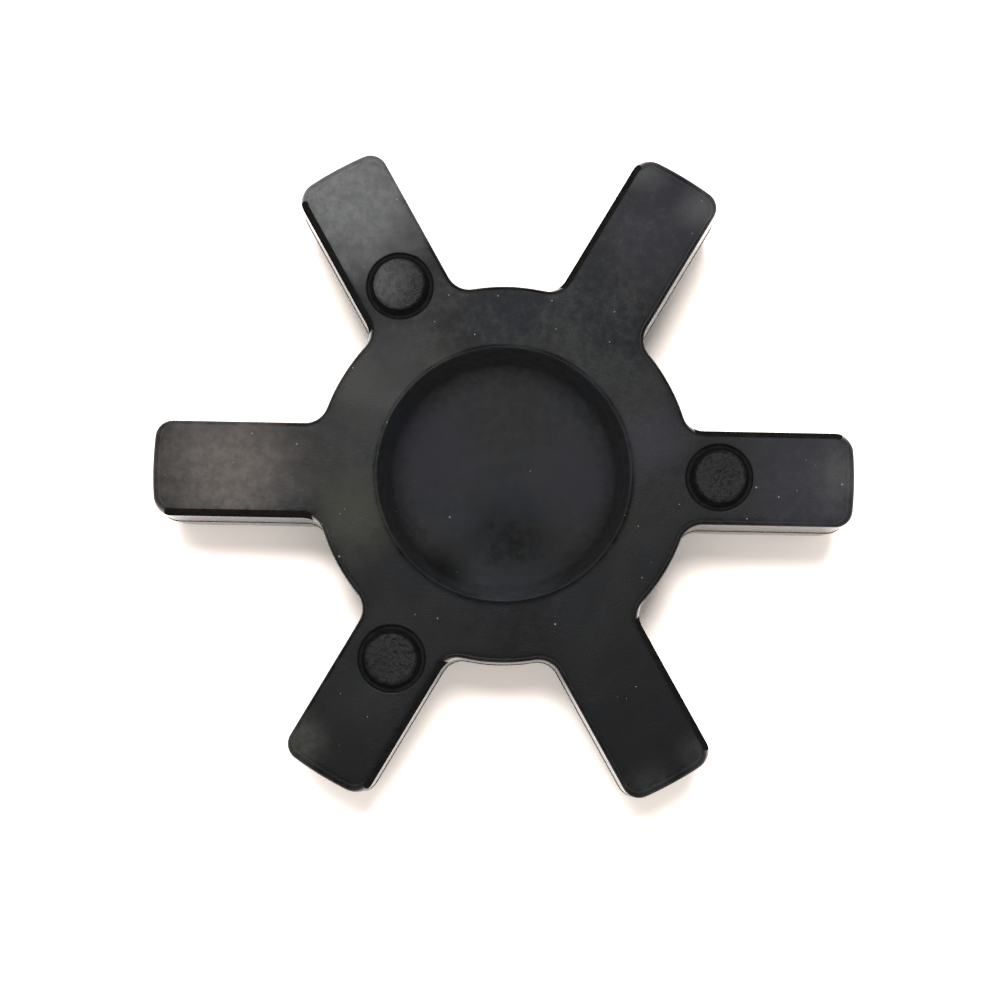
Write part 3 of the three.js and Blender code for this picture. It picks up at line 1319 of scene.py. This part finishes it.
@dataclass(frozen=True)
class Viewpoint:
    """Camera above the upper face, a little to the front and turned about the axis.

    The target is where the middle of the upper face falls, in pixels from the top left corner.
    """

    distance: float = 0.300
    tilt: float = 4.6
    roll: float = 1.093
    target: tuple[float, float] = (503.6, 473.5)
    pixels_per_width: float = 708.0
    width: float = 0.08255
    face_height: float = 0.009525

    def build(self) -> bpy.types.Object:
        """Builds the camera and makes it the scene's.

        Returns:
            The camera.
        """
        lens = bpy.data.cameras.new("viewpoint")
        focal = self.pixels_per_width * self.distance / self.width
        lens.sensor_width = SENSOR_MM
        lens.lens = focal / FRAME_PIXELS * SENSOR_MM
        lens.clip_start = 0.01
        lens.clip_end = 50.0
        camera = bpy.data.objects.new("viewpoint", lens)
        tilt, roll = math.radians(self.tilt), math.radians(self.roll)
        turn = Matrix.Rotation(roll, 3, "Z")
        back = turn @ Vector((0.0, -math.sin(tilt), math.cos(tilt)))
        up = turn @ Vector((0.0, math.cos(tilt), math.sin(tilt)))
        right = up.cross(back)
        middle = Vector((0.0, 0.0, self.face_height))
        place = middle + back * self.distance
        across = (self.target[0] - FRAME_PIXELS / 2) / focal * self.distance
        above = (FRAME_PIXELS / 2 - self.target[1]) / focal * self.distance
        aim = middle - right * across - up * above
        back = (place - aim).normalized()
        right = up.cross(back).normalized()
        up = back.cross(right)
        basis = Matrix((right, up, back)).transposed()
        camera.matrix_world = Matrix.Translation(place) @ basis.to_4x4()
        bpy.context.scene.collection.objects.link(camera)
        bpy.context.scene.camera = camera
        return camera


# Painted sheen on the upper and left legs and painted shade on the hub and the lower and right
# legs, where the light falls brighter or dimmer.
FACE_PAINTED_SHEEN_AND_SHADE = (
    Patch(-0.0155, 0.0100, 0.0110, (0.050, 0.048, 0.046), 0.85),
    Patch(-0.0175, -0.0040, 0.0075, (0.048, 0.049, 0.037), 0.9),
    Patch(-0.0200, 0.0330, 0.0140, (0.200, 0.202, 0.202), 0.90),
    Patch(-0.0325, 0.0000, 0.0115, (0.168, 0.145, 0.132), 0.85),
    Patch(0.0360, 0.0000, 0.0120, (0.044, 0.041, 0.052), 0.8),
    Patch(0.0180, 0.0300, 0.0120, (0.022, 0.021, 0.031), 0.8),
    Patch(0.0170, 0.0040, 0.0060, (0.028, 0.026, 0.038), 0.8),
    Patch(-0.0160, -0.0270, 0.0060, (0.018, 0.018, 0.018), 0.7),
    Patch(0.0010, 0.0200, 0.0070, (0.0060, 0.0085, 0.0140), 0.8),
    Patch(0.0130, 0.0180, 0.0075, (0.0025, 0.0040, 0.0060), 0.85),
    Patch(0.0020, -0.0190, 0.0110, (0.0024, 0.0024, 0.0030), 0.85),
    Patch(0.0170, -0.0290, 0.0160, (0.0028, 0.0028, 0.0031), 0.8),
    Patch(-0.0190, -0.0330, 0.0090, (0.0050, 0.0050, 0.0050), 0.8),
    Patch(0.0185, -0.0020, 0.0045, (0.0035, 0.0035, 0.0042), 0.7),
)

# Painted highlights on the rounded corners of the leg tips.
PAINTED_CORNER_HIGHLIGHTS = (
    Patch(-0.0232, -0.0314, 0.0045, (0.060, 0.061, 0.052), 0.8),
    Patch(0.0237, 0.0316, 0.0045, (0.085, 0.085, 0.085), 0.8),
    Patch(0.0156, 0.0366, 0.0040, (0.060, 0.061, 0.060), 0.8),
    Patch(0.0240, -0.0320, 0.0040, (0.040, 0.040, 0.040), 0.8),
    Patch(0.0181, -0.0366, 0.0040, (0.036, 0.036, 0.036), 0.8),
    Patch(0.0405, 0.0005, 0.0055, (0.075, 0.074, 0.074), 0.8),
)

# Painted light on the lower wall of the recess, and painted light and shade on its floor.
RECESS_PAINTED_LIGHT_AND_SHADE = (
    Patch(0.0005, -0.0138, 0.0080, (0.074, 0.083, 0.092), 0.9, 0.0062),
    Patch(-0.0085, 0.0030, 0.0080, (0.032, 0.030, 0.040), 0.8, 0.0032),
    Patch(0.0085, 0.0000, 0.0070, (0.032, 0.030, 0.040), 0.8, 0.0032),
    Patch(0.0010, -0.0080, 0.0075, (0.004, 0.004, 0.004), 0.85, 0.0032),
    Patch(-0.0070, -0.0110, 0.0040, (0.007, 0.007, 0.006), 0.8, 0.0040),
)

FINISHES: dict[Zone, RubberFinish] = {
    Zone.FACE: RubberFinish("moulded_rubber_face", patches=FACE_PAINTED_SHEEN_AND_SHADE + PAINTED_CORNER_HIGHLIGHTS),
    Zone.SIDE: RubberFinish("moulded_rubber_side", roughness=(0.12, 0.20), specular=0.30),
    Zone.NUB_TOP: RubberFinish(
        "torn_rubber",
        dark=(0.002, 0.002, 0.002),
        light=(0.018, 0.018, 0.018),
        mottle_scale=1700.0,
        mottle_contrast=6.0,
        tint_share=0.2,
        roughness=(0.26, 0.38),
        specular=0.09,
        grain_depth=0.00012,
        grain_scale=4200.0,
        grain_strength=0.6,
        dust_share=0.22,
        dust_scale=2800.0,
        dust_colour=(0.045, 0.045, 0.045),
        # Painted highlight on the left edge of the top of one nub.
        patches=(Patch(-0.0150, 0.0225, 0.0050, (0.13, 0.13, 0.13), 0.6, 0.0111),),
    ),
    Zone.RECESS: RubberFinish(
        "moulded_rubber_recess",
        dark=(0.0190, 0.0190, 0.0200),
        light=(0.0340, 0.0345, 0.0365),
        cool=(0.0250, 0.0310, 0.0420),
        warm=(0.0330, 0.0310, 0.0300),
        mottle_depth=0.6,
        roughness=(0.50, 0.62),
        specular=0.05,
        dust_share=0.006,
        patches=RECESS_PAINTED_LIGHT_AND_SHADE,
    ),
    Zone.TRIMMED: RubberFinish(
        "trimmed_rubber",
        dark=(0.0105, 0.0105, 0.0105),
        light=(0.0200, 0.0200, 0.0195),
        tint_share=0.0,
        specular=0.0,
        roughness=(0.80, 0.95),
        dust_share=0.004,
    ),
    # The rounded edges of the faces are painted paler as a highlight, and carry painted sheen,
    # shade and corner highlights.
    Zone.EDGE: RubberFinish(
        "rubber_edge_painted_highlight",
        light=(0.0160, 0.0160, 0.0165),
        mottle_scale=500.0,
        mottle_depth=1.0,
        patches=FACE_PAINTED_SHEEN_AND_SHADE[:6] + PAINTED_CORNER_HIGHLIGHTS,
    ),
}


def main() -> None:
    """Builds the studio, the camera and the spider in order."""
    logging.basicConfig(level=logging.INFO, format="%(name)s: %(message)s")
    Viewpoint().build()
    Studio().build()
    effects = SurfaceEffects()
    materials = [FINISHES[zone].build(effects) for zone in sorted(FINISHES)]
    spider = SpiderBody().build(materials)
    LOG.info("%s: %d faces", spider.name, len(spider.data.polygons))


if __name__ == "__main__":
    main()
